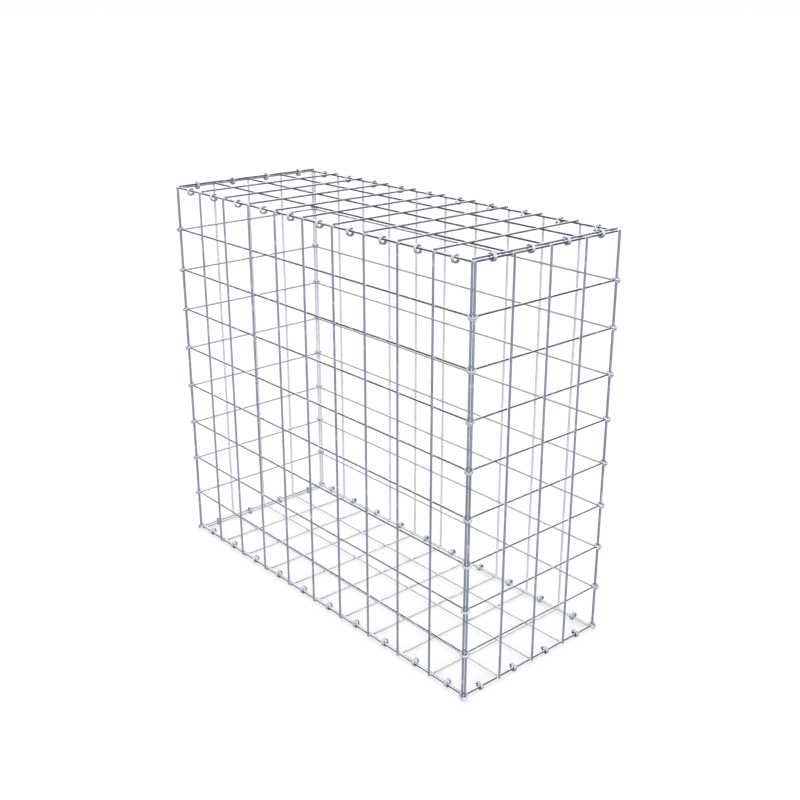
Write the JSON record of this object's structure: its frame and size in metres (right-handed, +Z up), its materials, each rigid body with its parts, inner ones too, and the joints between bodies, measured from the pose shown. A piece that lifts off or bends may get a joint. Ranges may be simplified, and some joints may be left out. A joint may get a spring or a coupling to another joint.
{
  "type": "gabion basket",
  "caption": "Closed rectangular cage of welded wire mesh panels tied along every edge by closed rings, to be filled with stone.",
  "frame": {"origin": "on the floor under the middle of the whole outline", "axes": "+X along the basket to its right end, +Y across it to the back panel, +Z up"},
  "size_m": [1.0244, 0.4306, 0.9209],
  "materials": {
    "mesh_wire": "hot-dip galvanised drawn steel wire, satin blue-grey",
    "ring_wire": "zinc coated spring steel wire, brighter than the mesh"
  },
  "bodies": {
    "root": {"front_panel_uprights": "mesh_wire", "front_panel_crosswires": "mesh_wire", "back_panel_uprights": "mesh_wire", "back_panel_crosswires": "mesh_wire", "left_panel_uprights": "mesh_wire", "left_panel_crosswires": "mesh_wire", "right_panel_uprights": "mesh_wire", "right_panel_crosswires": "mesh_wire", "lid_long_wires": "mesh_wire", "lid_short_wires": "mesh_wire", "base_long_wires": "mesh_wire", "base_short_wires": "mesh_wire", "lid_rings_front": "ring_wire", "lid_rings_back": "ring_wire", "lid_rings_left": "ring_wire", "lid_rings_right": "ring_wire", "base_rings_front": "ring_wire", "base_rings_back": "ring_wire", "base_rings_left": "ring_wire", "base_rings_right": "ring_wire", "corner_rings_front_left": "ring_wire", "corner_rings_front_right": "ring_wire", "corner_rings_back_left": "ring_wire", "corner_rings_back_right": "ring_wire"}
  },
  "joints": []
}
